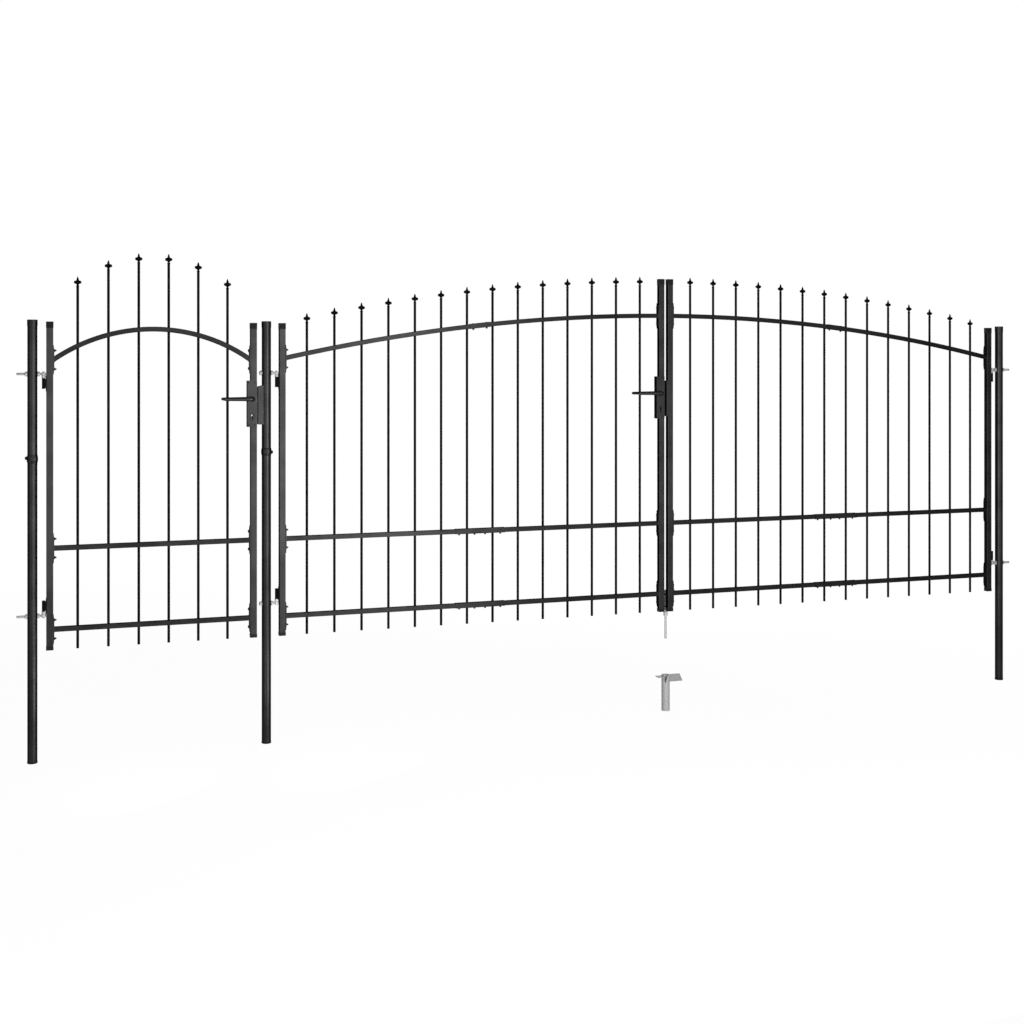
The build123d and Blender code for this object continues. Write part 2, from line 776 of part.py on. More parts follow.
with BuildPart() as right_keeper:
    keeper_start = right_meeting_x - stile_half - right_keeper_reach
    pocket_end = right_meeting_x - stile_half - keeper_wall
    add(make_keeper_blank(keeper_start, pocket_end, right_keeper_middle))
    with BuildSketch(Plane.XY.offset(right_keeper_middle - keeper_height / 2)):
        with Locations((right_meeting_x, 0)):
            Rectangle(stile_size, stile_size)
    extrude(amount=keeper_height, mode=Mode.SUBTRACT)
save(right_keeper, "right_keeper")

# Drop bolt

drop_x = right_meeting_x
drop_y = stile_half + drop_rod_offset
drop_radius = drop_rod_diameter / 2

with BuildPart() as drop_bolt_brackets:
    for height in guide_heights:
        rear = drop_y + drop_tube_diameter / 2 + guide_rim
        with BuildSketch(Plane.XY.offset(height - guide_thickness / 2)):
            with Locations((drop_x, (stile_half + rear) / 2)):
                Rectangle(guide_width, rear - stile_half)
            with Locations((drop_x, drop_y)):
                Circle(drop_tube_diameter / 2 + guide_tube_clearance, mode=Mode.SUBTRACT)
        extrude(amount=guide_thickness)
save(drop_bolt_brackets, "drop_bolt_brackets")

with BuildPart() as drop_bolt_tube:
    with BuildSketch(Plane.XY.offset(drop_tube_bottom)):
        with Locations((drop_x, drop_y)):
            Circle(drop_tube_diameter / 2)
    extrude(amount=drop_tube_length)
    with BuildSketch(Plane.XY.offset(drop_tube_bottom)):
        with Locations((drop_x, drop_y)):
            Circle(drop_collar_diameter / 2)
    extrude(amount=drop_collar_height)
    with BuildSketch(Plane.XY.offset(drop_tube_bottom)):
        with Locations((drop_x, drop_y)):
            Circle(drop_radius + drop_rod_clearance)
    extrude(amount=drop_tube_length, mode=Mode.SUBTRACT)
save(drop_bolt_tube, "drop_bolt_tube")

with BuildPart() as drop_rod:
    handle_height = drop_tube_top + drop_rod_clearance + drop_radius
    with BuildSketch(Plane.XY.offset(drop_rod_tip)):
        with Locations((drop_x, drop_y)):
            Circle(drop_radius)
    extrude(amount=handle_height - drop_rod_tip)
    with BuildSketch(Plane.YZ.offset(drop_x)):
        with Locations((drop_y, handle_height)):
            Circle(drop_radius)
    extrude(amount=drop_rod_handle_reach)
    with Locations((drop_x, drop_y, handle_height)):
        Sphere(drop_radius)
save(drop_rod, "drop_rod")

# Ground sleeve

with BuildPart() as ground_sleeve:
    with BuildSketch(Plane.XY.offset(sleeve_bottom)):
        with Locations((drop_x, drop_y)):
            Circle(sleeve_diameter / 2)
    extrude(amount=sleeve_top - sleeve_bottom)
    tilt = radians(right_ear_tilt)
    ear_plane = Plane(
        origin=(drop_x, drop_y, right_ear_height),
        x_dir=(1, 0, 0),
        z_dir=(0, -sin(tilt), cos(tilt)),
    )
    with BuildSketch(ear_plane):
        with Locations((right_ear_length / 2, 0)):
            Rectangle(right_ear_length, right_ear_width)
    extrude(amount=ear_thickness)
    with BuildSketch(Plane.XY.offset(left_ear_height)):
        with Locations((drop_x - left_ear_length / 2, drop_y)):
            Rectangle(left_ear_length, left_ear_width)
    extrude(amount=ear_thickness)
    with BuildSketch(Plane.XY.offset(sleeve_bottom)):
        with Locations((drop_x, drop_y)):
            Circle(sleeve_diameter / 2 - sleeve_wall)
    extrude(amount=sleeve_top - sleeve_bottom, mode=Mode.SUBTRACT)
    turn = radians(sleeve_notch_turn)
    notch_plane = Plane(
        origin=(drop_x, drop_y, sleeve_top),
        x_dir=(cos(turn), -sin(turn), 0),
        z_dir=(-sin(turn), -cos(turn), 0),
    )
    with BuildSketch(notch_plane):
        with BuildLine():
            Polyline(
                (-sleeve_notch_width / 2, 0),
                (0, -sleeve_notch_depth),
                (sleeve_notch_width / 2, 0),
                (-sleeve_notch_width / 2, 0),
            )
        make_face()
    extrude(amount=sleeve_diameter, mode=Mode.SUBTRACT)
save(ground_sleeve, "ground_sleeve")
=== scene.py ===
"""Looks of the spear-top gate set, dressed around its solid model.

Lengths are in metres, in the model's own frame: X runs along the gate to the right, Y away from
the viewer, Z up. The origin is the centre of the middle post's foot.
"""

import json
from math import asin, copysign, cos, pi, radians, sin, sqrt, tau

import bmesh
import bpy
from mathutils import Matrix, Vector


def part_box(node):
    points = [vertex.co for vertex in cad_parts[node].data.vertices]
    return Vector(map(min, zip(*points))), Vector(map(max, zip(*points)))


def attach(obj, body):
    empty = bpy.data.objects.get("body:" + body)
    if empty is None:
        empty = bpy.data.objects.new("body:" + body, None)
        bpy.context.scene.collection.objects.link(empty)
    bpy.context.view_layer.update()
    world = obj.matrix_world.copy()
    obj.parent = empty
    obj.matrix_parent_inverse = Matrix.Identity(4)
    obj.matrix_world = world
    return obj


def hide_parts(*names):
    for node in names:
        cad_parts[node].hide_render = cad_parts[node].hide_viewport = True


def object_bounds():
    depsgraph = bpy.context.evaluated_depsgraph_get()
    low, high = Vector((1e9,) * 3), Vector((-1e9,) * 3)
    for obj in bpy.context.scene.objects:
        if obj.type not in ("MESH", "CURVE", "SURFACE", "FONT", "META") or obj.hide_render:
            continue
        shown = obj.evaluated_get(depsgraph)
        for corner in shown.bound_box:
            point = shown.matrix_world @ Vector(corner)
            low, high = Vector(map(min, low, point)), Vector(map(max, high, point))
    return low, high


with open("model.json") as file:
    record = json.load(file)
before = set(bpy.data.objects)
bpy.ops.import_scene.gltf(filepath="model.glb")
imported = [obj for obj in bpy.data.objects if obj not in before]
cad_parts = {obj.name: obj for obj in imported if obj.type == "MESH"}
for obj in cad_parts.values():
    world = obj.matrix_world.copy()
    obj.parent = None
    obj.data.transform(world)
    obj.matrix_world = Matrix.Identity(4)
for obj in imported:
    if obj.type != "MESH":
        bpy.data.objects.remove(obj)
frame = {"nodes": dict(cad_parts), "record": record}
cad_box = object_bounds()
nodes = frame["nodes"]
X_AXIS, Y_AXIS, Z_AXIS = Vector((1, 0, 0)), Vector((0, 1, 0)), Vector((0, 0, 1))

# The camera, solved from the evenly spaced bars: the picture is 1024 pixels square.
PICTURE_SIZE = 1024
FOCAL_PIXELS = 1480.0
HORIZON_PIXEL = 353.458
CAMERA_PLACE = (-1.17732, -6.83947, 1.80107)
CAMERA_YAW_DEG = 19.1906
CAMERA_SIGHT = 200.0
SENSOR_MM = 36.0

# Floor and light.
FLOOR_DROP = 0.004
FLOOR_HALF = 60.0
FLOOR_FADE = (2.5, 7.0)
FLOOR_GLOW_SHARE = 0.97
FLOOR_COLOUR = (0.8, 0.8, 0.8, 1.0)
FLOOR_ROUGHNESS = 0.9
AMBIENT = 0.1
WHITE = (1.0, 1.0, 1.0, 1.0)

# Each lamp's name, place, target, width and height, and power in watts.
LAMPS = (
    ("key", (1.5, -3.4, 1.2), (1.2, 0.0, 1.1), (0.5, 2.3), 150.0),
    ("front", (-0.7, -3.6, 1.2), (-0.7, 0.0, 1.1), (2.6, 2.2), 76.0),
    ("left", (-4.1, -3.4, 1.2), (-0.4, 0.0, 1.1), (0.6, 2.3), 35.0),
    ("right", (4.4, -3.6, 1.2), (3.4, 0.0, 1.1), (1.6, 2.2), 40.0),
    ("left_foot", (-0.47, -0.65, 0.14), (-1.0, 0.0, 0.2), (0.25, 0.22), 4.0),
    ("middle_foot", (0.41, -0.65, 0.14), (0.0, 0.0, 0.2), (0.25, 0.22), 4.0),
    ("back", (3.5, 5.0, 1.4), (1.5, 0.0, 1.1), (3.0, 1.8), 120.0),
)

# The black coat's slants, from facing the eye at nought, between which it turns rough.
RIM_SLANT = (0.55, 0.85)
RIM_ROUGHNESS = 0.5

# Textures: how fine each is, in repeats per metre, and how high its bumps are, in metres.
CLOUD_SCALE = 9.0
PEEL_SCALE = 620.0
PEEL_HEIGHT = 0.00005
FINE_PEEL_HEIGHT = 0.00003
FAINT_PEEL_HEIGHT = 0.00002
ZINC_PATCH_SCALE = 170.0
ZINC_GRAIN_SCALE = 900.0
ZINC_GRAIN_HEIGHT = 0.00002
MOULD_GRAIN_SCALE = 1500.0
MOULD_GRAIN_HEIGHT = 0.00004

# How far a surface's roughness strays from its middle value, and what each shader is made of.
COAT_ROUGHNESS_SPREAD = 0.05
ZINC_ROUGHNESS_SPREAD = 0.04
ZINC_METALLIC = 0.3
ZINC_EDGE_TINT = (0.35, 0.35, 0.35, 1.0)
BLACK = (0.0, 0.0, 0.0, 1.0)
PLASTIC_ROUGHNESS = (0.5, 0.65)
PLASTIC_SPECULAR = 0.06


# Materials


def new_material(name):
    """An empty node material with a principled shader, and the shader's node."""
    material = bpy.data.materials.new(name)
    material.use_nodes = True
    return material, material.node_tree.nodes["Principled BSDF"]


def noise(tree, scale, detail=3.0, roughness=0.55):
    """A noise texture in the object's own coordinates, where one unit is a metre."""
    place = tree.nodes.new("ShaderNodeTexCoord")
    texture = tree.nodes.new("ShaderNodeTexNoise")
    texture.inputs["Scale"].default_value = scale
    texture.inputs["Detail"].default_value = detail
    texture.inputs["Roughness"].default_value = roughness
    tree.links.new(place.outputs["Object"], texture.inputs["Vector"])
    return texture


def ramp(tree, source, low, high, start=0.35, end=0.65):
    """Blend from one colour to another over part of a texture's range."""
    node = tree.nodes.new("ShaderNodeValToRGB")
    node.color_ramp.elements[0].position = start
    node.color_ramp.elements[0].color = (*low, 1)
    node.color_ramp.elements[1].position = end
    node.color_ramp.elements[1].color = (*high, 1)
    tree.links.new(source, node.inputs["Fac"])
    return node.outputs["Color"]


def spread(tree, source, low, high):
    """Map a texture's range on a range of values."""
    node = tree.nodes.new("ShaderNodeMapRange")
    node.inputs["To Min"].default_value = low
    node.inputs["To Max"].default_value = high
    tree.links.new(source, node.inputs["Value"])
    return node.outputs["Result"]


def bump(tree, shader, source, height):
    """Raise the surface by a texture, by so many metres."""
    node = tree.nodes.new("ShaderNodeBump")
    node.inputs["Strength"].default_value = 1.0
    node.inputs["Distance"].default_value = height
    tree.links.new(source, node.inputs["Height"])
    tree.links.new(node.outputs["Normal"], shader.inputs["Normal"])


def rougher_rim(tree, roughness):
    """Raise a roughness towards the rims of a shape, where the coat's grain hides its gloss."""
    slant = tree.nodes.new("ShaderNodeLayerWeight")
    slant.inputs["Blend"].default_value = 0.5
    rim = tree.nodes.new("ShaderNodeMapRange")
    rim.inputs["From Min"].default_value = RIM_SLANT[0]
    rim.inputs["From Max"].default_value = RIM_SLANT[1]
    rim.inputs["To Max"].default_value = RIM_ROUGHNESS
    tree.links.new(slant.outputs["Facing"], rim.inputs["Value"])
    total = tree.nodes.new("ShaderNodeMath")
    tree.links.new(roughness, total.inputs[0])
    tree.links.new(rim.outputs["Result"], total.inputs[1])
    return total.outputs["Value"]


def coated_steel(name, dark, light, roughness, peel=PEEL_HEIGHT):
    """Powder-coated steel, near black, with the coat's fine orange peel and slight clouds.

    The satin coat mirrors only what it faces and goes black at a slant, as in the picture: that
    is a metal's reflection with a black edge tint.
    """
    material, shader = new_material(name)
    tree = material.node_tree
    clouds = noise(tree, CLOUD_SCALE)
    grain = noise(tree, PEEL_SCALE, detail=1.0)
    tree.links.new(ramp(tree, clouds.outputs["Fac"], dark, light), shader.inputs["Base Color"])
    low, high = roughness - COAT_ROUGHNESS_SPREAD, roughness + COAT_ROUGHNESS_SPREAD
    sheen = spread(tree, clouds.outputs["Fac"], low, high)
    tree.links.new(rougher_rim(tree, sheen), shader.inputs["Roughness"])
    shader.inputs["Metallic"].default_value = 1.0
    shader.inputs["Specular Tint"].default_value = BLACK
    bump(tree, shader, grain.outputs["Fac"], peel)
    return material


def zinc_coat(name, dark, light, roughness):
    """Dull zinc-coated steel with its faint patches."""
    material, shader = new_material(name)
    tree = material.node_tree
    patches = tree.nodes.new("ShaderNodeTexVoronoi")
    patches.inputs["Scale"].default_value = ZINC_PATCH_SCALE
    place = tree.nodes.new("ShaderNodeTexCoord")
    tree.links.new(place.outputs["Object"], patches.inputs["Vector"])
    tone = tree.nodes.new("ShaderNodeSeparateColor")
    tree.links.new(patches.outputs["Color"], tone.inputs["Color"])
    grain = noise(tree, ZINC_GRAIN_SCALE, detail=2.0)
    patch_colour = ramp(tree, tone.outputs["Red"], dark, light, 0.0, 1.0)
    tree.links.new(patch_colour, shader.inputs["Base Color"])
    low, high = roughness - ZINC_ROUGHNESS_SPREAD, roughness + ZINC_ROUGHNESS_SPREAD
    sheen = spread(tree, grain.outputs["Fac"], low, high)
    tree.links.new(sheen, shader.inputs["Roughness"])
    shader.inputs["Metallic"].default_value = ZINC_METALLIC
    shader.inputs["Specular Tint"].default_value = ZINC_EDGE_TINT
    bump(tree, shader, grain.outputs["Fac"], ZINC_GRAIN_HEIGHT)
    return material


def moulded_plastic(name, dark, light):
    """Matt moulded plastic with a fine spark-eroded grain."""
    material, shader = new_material(name)
    tree = material.node_tree
    grain = noise(tree, MOULD_GRAIN_SCALE, detail=2.0)
    tree.links.new(ramp(tree, grain.outputs["Fac"], dark, light), shader.inputs["Base Color"])
    sheen = spread(tree, grain.outputs["Fac"], *PLASTIC_ROUGHNESS)
    tree.links.new(sheen, shader.inputs["Roughness"])
    shader.inputs["Specular IOR Level"].default_value = PLASTIC_SPECULAR
    bump(tree, shader, grain.outputs["Fac"], MOULD_GRAIN_HEIGHT)
    return material


BLACK_COAT = coated_steel("black_powder_coat", (0.013, 0.013, 0.0134), (0.019, 0.019, 0.0195), 0.36)
# A darker copy of the black coat: painted shade on the rails, arch and splice sleeves.
PAINTED_SHADE_RAIL_COAT = coated_steel("rail_coat_painted_shade", (0.008, 0.008, 0.0083), (0.012, 0.012, 0.0124), 0.38)
# A darker copy of the black coat: painted shade on the bars, hinge brackets and spear heads.
PAINTED_SHADE_BAR_COAT = coated_steel(
    "bar_coat_painted_shade", (0.002, 0.002, 0.0021), (0.004, 0.004, 0.0042), 0.45, peel=FAINT_PEEL_HEIGHT
)
HANDLE_BLACK = coated_steel(
    "handle_coat", (0.015, 0.015, 0.0155), (0.021, 0.021, 0.0215), 0.33, peel=FINE_PEEL_HEIGHT
)
ZINC = zinc_coat("zinc_coat", (0.28, 0.28, 0.28), (0.33, 0.33, 0.33), 0.55)
DULL_ZINC = zinc_coat("dull_zinc_coat", (0.25, 0.25, 0.25), (0.28, 0.28, 0.28), 0.65)
CAP_PLASTIC = moulded_plastic("cap_plastic", (0.004, 0.004, 0.004), (0.007, 0.007, 0.007))
MATERIAL_OF_SLOT = {
    "black_coat": BLACK_COAT,
    "galvanised_steel": ZINC,
    "cap_plastic": CAP_PLASTIC,
    "handle_black": HANDLE_BLACK,
}

for part in frame["record"]["subparts"]:
    surface = nodes[part["node"]].data
    surface.materials.clear()
    surface.materials.append(MATERIAL_OF_SLOT[part["material_slot"]])
nodes["ground_sleeve"].data.materials[0] = DULL_ZINC

# Thin and slanting pieces get darker copies of the black coat: painted shade, so that they look darker
# than the stiles and posts.
for leaf in ("wicket", "left", "right"):
    for piece in ("bars", "hinge_brackets"):
        nodes[f"{leaf}_{piece}"].data.materials[0] = PAINTED_SHADE_BAR_COAT
    for piece in ("arch", "middle_rail", "bottom_rail"):
        nodes[f"{leaf}_{piece}"].data.materials[0] = PAINTED_SHADE_RAIL_COAT
for leaf in ("left", "right"):
    nodes[f"{leaf}_splice_sleeves"].data.materials[0] = PAINTED_SHADE_RAIL_COAT


# Shapes

SHARP_ANGLE = radians(35)
HEXAGON_CHAMFER = 0.14
DOME_ANGLES = (0, 0.25, 0.55, 0.9, 1.2, 1.45)
THREAD_SIDES = 16
THREAD_STEPS = 4
BEAD_RIPPLE = 0.16
BEAD_RIPPLE_TURN = 2.4
BEAD_STEP = 0.002
MERGE_DISTANCE = 1e-6


def ring(centre, across, up, count, power=1.0):
    """Points of an ellipse about a centre; the lower its power is under one, the squarer it is."""
    points = []
    for index in range(count):
        c, s = cos(tau * index / count), sin(tau * index / count)
        points.append(centre + across * copysign(abs(c) ** power, c) + up * copysign(abs(s) ** power, s))
    return points


def loft(shape, rings, closed=False):
    """Skin a row of rings; the ends are capped unless the row closes on itself."""
    rows = [[shape.verts.new(point) for point in points] for points in rings]
    pairs = list(zip(rows, rows[1:]))
    if closed:
        pairs.append((rows[-1], rows[0]))
    else:
        shape.faces.new(rows[0][::-1])
        shape.faces.new(rows[-1])
    for near, far in pairs:
        for index in range(len(near)):
            after = (index + 1) % len(near)
            shape.faces.new((near[index], near[after], far[after], far[index]))


def lathe(shape, base, axis, profile, count=24):
    """Turn a profile of radii and distances from the base about an axis."""
    side = axis.orthogonal().normalized()
    up = axis.cross(side)
    loft(shape, [ring(base + axis * far, side * radius, up * radius, count) for radius, far in profile])


def hexagon(shape, base, axis, flats, height):
    """A hexagon head or nut with its corners turned off."""
    corner = flats / sqrt(3)
    cut, most = HEXAGON_CHAMFER, 1 - HEXAGON_CHAMFER
    small = corner * most
    profile = ((small, 0), (corner, height * cut), (corner, height * most), (small, height))
    lathe(shape, base, axis, profile, count=6)


def dome(shape, base, axis, radius, height):
    """A low round head."""
    profile = [(radius * cos(angle), height * sin(angle)) for angle in DOME_ANGLES]
    lathe(shape, base, axis, profile, count=16)


def threaded_rod(shape, start, end, radius, pitch, depth):
    """A rod with a right-hand thread, chamfered at its start."""
    axis = (end - start).normalized()
    side = axis.orthogonal().normalized()
    up = axis.cross(side)
    length = (end - start).length
    step = pitch / THREAD_STEPS
    rows = []
    for index in range(int(length / step) + 1):
        far = index * step
        row = []
        for corner in range(THREAD_SIDES):
            phase = (far / pitch - corner / THREAD_SIDES) % 1.0
            size = min(radius - depth * abs(2 * phase - 1), radius - 2 * depth + far)
            turn = tau * corner / THREAD_SIDES
            row.append(start + axis * far + side * (size * cos(turn)) + up * (size * sin(turn)))
        rows.append(row)
    loft(shape, rows)


def weld_bead(shape, points, radius, normal, closed=False):
    """A weld bead along a line of points, with the ripples of its runs."""
    count = len(points)
    rows = []
    for index, point in enumerate(points):
        if closed:
            before, after = points[index - 1], points[(index + 1) % count]
        else:
            before, after = points[max(index - 1, 0)], points[min(index + 1, count - 1)]
        across = (after - before).cross(normal).normalized()
        size = radius * (1 + BEAD_RIPPLE * sin(BEAD_RIPPLE_TURN * index))
        rows.append(ring(point, across * size, normal * size, count=8))
    loft(shape, rows, closed)


def steps(start, end):
    """Points from start to end for a weld bead."""
    count = max(int((end - start).length / BEAD_STEP), 2)
    return [start.lerp(end, index / count) for index in range(count + 1)]


def finish_piece(name, shape, material, body, slot, *replaced):
    """Turn a shape into an object that rides on a body, smooth but for its real edges."""
    bmesh.ops.recalc_face_normals(shape, faces=shape.faces)
    for face in shape.faces:
        face.smooth = True
    for edge in shape.edges:
        edge.smooth = len(edge.link_faces) == 2 and edge.calc_face_angle() < SHARP_ANGLE
    data = bpy.data.meshes.new(name)
    shape.to_mesh(data)
    shape.free()
    data.materials.append(material)
    piece = bpy.data.objects.new(name, data)
    bpy.context.scene.collection.objects.link(piece)
    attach(piece, body)
    if replaced:
        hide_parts(*replaced)


def solids_of(node):
    """The lowest and highest corner of each separate solid of a CAD node, from left to right."""
    shape = bmesh.new()
    shape.from_mesh(nodes[node].data)
    bmesh.ops.remove_doubles(shape, verts=shape.verts, dist=MERGE_DISTANCE)
    boxes = []
    unseen = set(shape.verts)
    while unseen:
        group = [unseen.pop()]
        for vertex in group:
            for edge in vertex.link_edges:
                other = edge.other_vert(vertex)
                if other in unseen:
                    unseen.discard(other)
                    group.append(other)
        places = [vertex.co for vertex in group]
        low = Vector([min(p[axis] for p in places) for axis in range(3)])
        high = Vector([max(p[axis] for p in places) for axis in range(3)])
        boxes.append((low, high))
    shape.free()
    return sorted(boxes, key=lambda box: (round(box[0].x, 4), round(box[0].z, 4)))


# Each leaf's name and body, and the way from its hinge stile to its other stile: 1 is rightwards.
LEAVES = (("wicket", "wicket", 1), ("left", "left_leaf", 1), ("right", "right_leaf", -1))
POSTS_X = (-1.03, 0.0, 4.052)
POST_RADIUS = 0.0212
STILE_HALF = 0.0145
RIGHT_MEETING_STILE_X = 2.050


# Spear heads

# The body's radii and heights above its foot; the arm's reach, half height and half thickness.
SPEAR_BODY = (
    (0.0060, -0.0014), (0.0074, 0.0002), (0.0075, 0.0016), (0.0060, 0.0030), (0.0044, 0.0046),
    (0.0043, 0.0062), (0.0060, 0.0088), (0.0082, 0.0115), (0.0090, 0.0145), (0.0086, 0.0185),
    (0.0076, 0.0222), (0.0065, 0.0250), (0.0057, 0.0285), (0.0046, 0.0330), (0.0033, 0.0375),
    (0.0020, 0.0412), (0.0008, 0.0434), (0.0002, 0.0440),
)
SPEAR_ARM_HEIGHT = 0.0185
SPEAR_ARM_POWER = 0.75
SPEAR_ARM = (
    (0.0, 0.0072, 0.0046), (0.0060, 0.0074, 0.0047), (0.0100, 0.0073, 0.0044), (0.0130, 0.0062, 0.0038),
    (0.0150, 0.0045, 0.0030), (0.0160, 0.0028, 0.0021), (0.0163, 0.0012, 0.0011),
)


def make_spear_heads(leaf, body):
    """Cast heads: a waisted round body that runs out to the point, and two blunt arms."""
    shape = bmesh.new()
    for low, high in solids_of(f"{leaf}_spear_heads"):
        foot = Vector(((low.x + high.x) / 2, (low.y + high.y) / 2, low.z))
        lathe(shape, foot, Z_AXIS, SPEAR_BODY, count=20)
        waist = foot + Z_AXIS * SPEAR_ARM_HEIGHT
        for side in (1, -1):
            rows = []
            for out, tall, thick in SPEAR_ARM:
                centre = waist + X_AXIS * (side * out)
                rows.append(ring(centre, Y_AXIS * thick, Z_AXIS * tall, count=16, power=SPEAR_ARM_POWER))
            loft(shape, rows)
    finish_piece(f"{leaf}_spear_castings", shape, PAINTED_SHADE_BAR_COAT, body, "black_coat", f"{leaf}_spear_heads")


# Bolts and screws. A hexagon is given by its width across flats and its height, a dome by its
# radius and height, a thread by its radius, pitch and depth, and a profile by radii and distances
# from what it sits on.

SEAT_DEPTH = 0.0004
WASHER = ((0.0078, 0.0), (0.0080, 0.0003), (0.0080, 0.0010), (0.0077, 0.0013))
WASHER_TOP = 0.0012
FLANGE_BOLT_SPREAD = 0.041
FLANGE_NUT = (0.010, 0.0050)
FLANGE_THREAD = (0.003, 0.001, 0.0004)
FLANGE_THREAD_ROOT = 0.005
FLANGE_THREAD_TIP = 0.0105
FLANGE_HEAD = (0.012, 0.0046)
FLANGE_CROWN = (0.0050, 0.0011)
FLANGE_CROWN_BASE = 0.0056

LONG_SLEEVE = 0.2
SPLICE_SCREWS = (-0.105, -0.027, 0.027, 0.105)
SPLICE_DISC = ((0.0062, 0.0), (0.0062, 0.0011), (0.0050, 0.0017))
SPLICE_HEAD = (0.0080, 0.0055)
SPLICE_HEAD_BASE = 0.0010
ARCH_SCREWS = (-0.034, 0.034)
ARCH_SCREW_END = (0.0036, 0.0024)
ARCH_SCREW_SINK = 0.0003

# The middle line of the driveway's arch, which its splice sleeves follow, and half their height.
ARCH_CROWN = 1.992
ARCH_RADIUS = 8.9778
ARCH_MIDDLE = 2.026
SLEEVE_HALF = 0.0125


def make_flange_bolts(leaf, body, hinge_side):
    """Two bolts in each flange: the nut end on the hinge stile, the head on the other."""
    shape = bmesh.new()
    low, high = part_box(f"{leaf}_rail_flanges")
    middle = (low.x + high.x) / 2
    for low, high in solids_of(f"{leaf}_rail_flanges"):
        side = 1 if high.x < middle else -1
        face = (high.x if side > 0 else low.x) - side * SEAT_DEPTH
        axis = X_AXIS * side
        for shift in (-FLANGE_BOLT_SPREAD, FLANGE_BOLT_SPREAD):
            base = Vector((face, 0, (low.z + high.z) / 2 + shift))
            lathe(shape, base, axis, WASHER, count=20)
            if side == hinge_side:
                hexagon(shape, base + axis * WASHER_TOP, axis, *FLANGE_NUT)
                tip, root = base + axis * FLANGE_THREAD_TIP, base + axis * FLANGE_THREAD_ROOT
                threaded_rod(shape, tip, root, *FLANGE_THREAD)
            else:
                hexagon(shape, base + axis * WASHER_TOP, axis, *FLANGE_HEAD)
                dome(shape, base + axis * FLANGE_CROWN_BASE, axis, *FLANGE_CROWN)
    finish_piece(f"{leaf}_flange_bolts", shape, BLACK_COAT, body, "black_coat")


def splice_screw(shape, base, axis):
    """A screw with a disc under its hexagon head."""
    lathe(shape, base - axis * SEAT_DEPTH, axis, SPLICE_DISC, count=18)
    hexagon(shape, base + axis * SPLICE_HEAD_BASE, axis, *SPLICE_HEAD)


def make_splice_screws(leaf, body):
    """The screws that hold the splice sleeves: from below, with their ends above the arch."""
    shape = bmesh.new()
    for low, high in solids_of(f"{leaf}_splice_sleeves"):
        middle = (low.x + high.x) / 2
        if high.x - low.x > LONG_SLEEVE:
            for shift in SPLICE_SCREWS:
                splice_screw(shape, Vector((middle + shift, 0, low.z)), -Z_AXIS)
            continue
        for shift in ARCH_SCREWS:
            reach = middle + shift - ARCH_MIDDLE
            lean = asin(reach / ARCH_RADIUS)
            out = Vector((sin(lean), 0, cos(lean)))
            centre = Vector((ARCH_MIDDLE, 0, ARCH_CROWN - ARCH_RADIUS))
            splice_screw(shape, centre + out * (ARCH_RADIUS - SLEEVE_HALF), -out)
            end = centre + out * (ARCH_RADIUS + SLEEVE_HALF - ARCH_SCREW_SINK)
            dome(shape, end, out, *ARCH_SCREW_END)
    finish_piece(f"{leaf}_splice_screws", shape, BLACK_COAT, body, "black_coat")


# Hinges

EYE_RADIUS = 0.0105
EYE_BORE = 0.0053
EYE_HALF_HEIGHT = 0.0059
EYE_POWER = 0.65
EYE_STEPS = 32
EYE_NECK = ((0.0050, -0.0125), (0.0052, -0.0105), (0.0058, -0.0085), (0.0058, -0.0070))
EYE_ROD_THREAD = (0.006, 0.00175, 0.0009)
EYE_THREAD_END = 0.0115
HINGE_WASHER = ((0.0112, 0.0), (0.0115, 0.0003), (0.0115, 0.0017), (0.0112, 0.0020))
HINGE_WASHER_TOP = 0.0020
HINGE_NUT = (0.019, 0.0079)


def make_eye_bolts():
    """Eye bolts with their thread, and the nuts and washers on both sides of each post."""
    shape = bmesh.new()
    for low, high in solids_of("hinge_eye_bolts"):
        side = -1 if low.x > RIGHT_MEETING_STILE_X else 1
        height = (low.z + high.z) / 2
        eye = Vector(((high.x if side > 0 else low.x) - side * EYE_RADIUS, 0, height))
        tail = Vector((low.x if side > 0 else high.x, 0, height))
        threaded_rod(shape, tail, eye - X_AXIS * (side * EYE_THREAD_END), *EYE_ROD_THREAD)
        lathe(shape, eye, X_AXIS * side, EYE_NECK)
        rows = []
        half = (EYE_RADIUS - EYE_BORE) / 2
        for index in range(EYE_STEPS):
            out = Vector((cos(tau * index / EYE_STEPS), sin(tau * index / EYE_STEPS), 0))
            centre = eye + out * (EYE_BORE + half)
            rows.append(ring(centre, out * half, Z_AXIS * EYE_HALF_HEIGHT, count=12, power=EYE_POWER))
        loft(shape, rows, closed=True)
    finish_piece("threaded_eye_bolts", shape, ZINC, "posts", "galvanised_steel", "hinge_eye_bolts")

    shape = bmesh.new()
    for low, high in solids_of("hinge_nuts"):
        middle = (low + high) / 2
        post_x = min(POSTS_X, key=lambda x: abs(x - middle.x))
        side = 1 if middle.x > post_x else -1
        axis = X_AXIS * side
        base = Vector((post_x + side * POST_RADIUS, 0, middle.z))
        lathe(shape, base, axis, HINGE_WASHER, count=32)
        hexagon(shape, base + axis * HINGE_WASHER_TOP, axis, *HINGE_NUT)
    finish_piece("hinge_nuts_and_washers", shape, ZINC, "posts", "galvanised_steel", "hinge_nuts")


# Locks and levers

